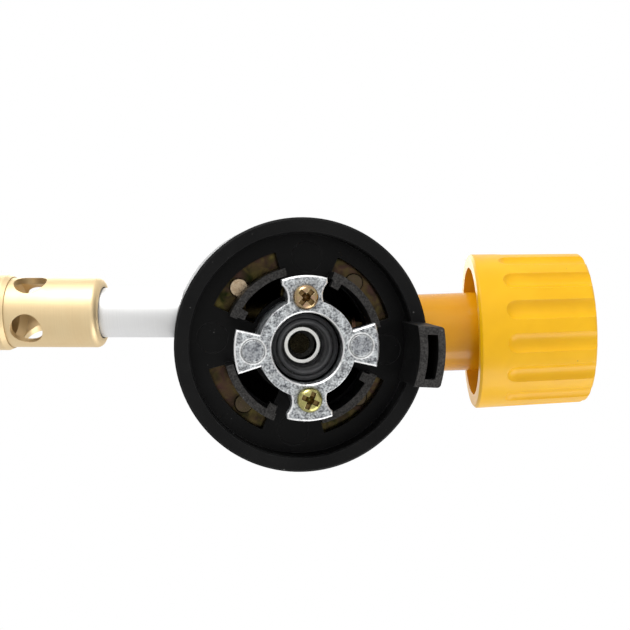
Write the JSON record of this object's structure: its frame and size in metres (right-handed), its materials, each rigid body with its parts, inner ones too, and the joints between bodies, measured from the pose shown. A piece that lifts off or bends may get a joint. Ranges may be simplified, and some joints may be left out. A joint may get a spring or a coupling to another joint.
{
  "type": "gas cartridge torch head",
  "caption": "Hand torch head for a small gas cartridge: round bayonet collar, needle valve with a fluted knob, and a burner tube with air holes and a flame tube.",
  "frame": {"origin": "centre of the bayonet ring's front face, on the cartridge axis", "axes": "+Z along the cartridge axis, away from the cartridge, so it is up when the torch stands on its cartridge; +X towards the knob, -X towards the burner; the knob's axis leans 10 degrees below +X and the burner's 10 degrees above -X"},
  "size_m": [0.1798, 0.0532, 0.0637],
  "materials": {
    "black_plastic": "satin moulded black, textured faces on the tab and stop walls",
    "yellow_plastic": "glossy moulded warm yellow",
    "zinc_casting": "blasted zinc die casting, bright cut edges",
    "chromated_steel": "yellow passivated sheet steel",
    "rivet_steel": "yellow passivated steel",
    "passivated_screw": "yellow passivated steel",
    "nickel_plate": "turned, nickel plated",
    "sintered_bronze": "porous sintered bronze",
    "black_rubber": "moulded nitrile rubber",
    "brass": "turned brass",
    "copper": "soft copper",
    "aluminium_tube": "satin drawn aluminium",
    "gold_brass": "satin gold, turned",
    "stainless_steel": "pressed stainless steel",
    "filter_wool": "sintered felt"
  },
  "bodies": {
    "root": {"bayonet_ring": "zinc_casting", "ring_screws": "passivated_screw", "collar": "black_plastic", "retaining_plate": "chromated_steel", "plate_rivets": "rivet_steel", "housing": "black_plastic", "inlet_nozzle": "nickel_plate", "inlet_filter": "sintered_bronze", "inlet_o_ring": "black_rubber", "inlet_seal": "black_rubber", "valve_body": "brass", "bonnet_washer": "copper", "bonnet": "brass", "neck_sleeve": "yellow_plastic", "neck_nut": "brass", "outlet_nipple": "brass", "burner_tube": "aluminium_tube", "jet_holder": "brass", "gas_jet": "brass", "jet_filter": "filter_wool", "mixer_sleeve": "gold_brass", "flame_tube": "gold_brass", "flame_holder": "stainless_steel"},
    "stem_seal": {"spindle_o_ring": "black_rubber"},
    "knob": {"knob": "yellow_plastic", "knob_screw": "passivated_screw", "needle_spindle": "brass"}
  },
  "joints": [
    {"name": "spindle_slide", "type": "slide", "parent": "root", "child": "stem_seal", "axis": [0.9848, 0, -0.1736], "range_m": [0, 0.00175]},
    {"name": "knob_turn", "type": "hinge", "parent": "stem_seal", "child": "knob", "pos_m": [0, 0, 0.0282], "axis": [0.9848, 0, -0.1736], "range_deg": [0, 630.5]}
  ],
  "couplings": [
    {"joint": "knob_turn", "follows": "spindle_slide", "rad_per_m": 6283.2}
  ]
}
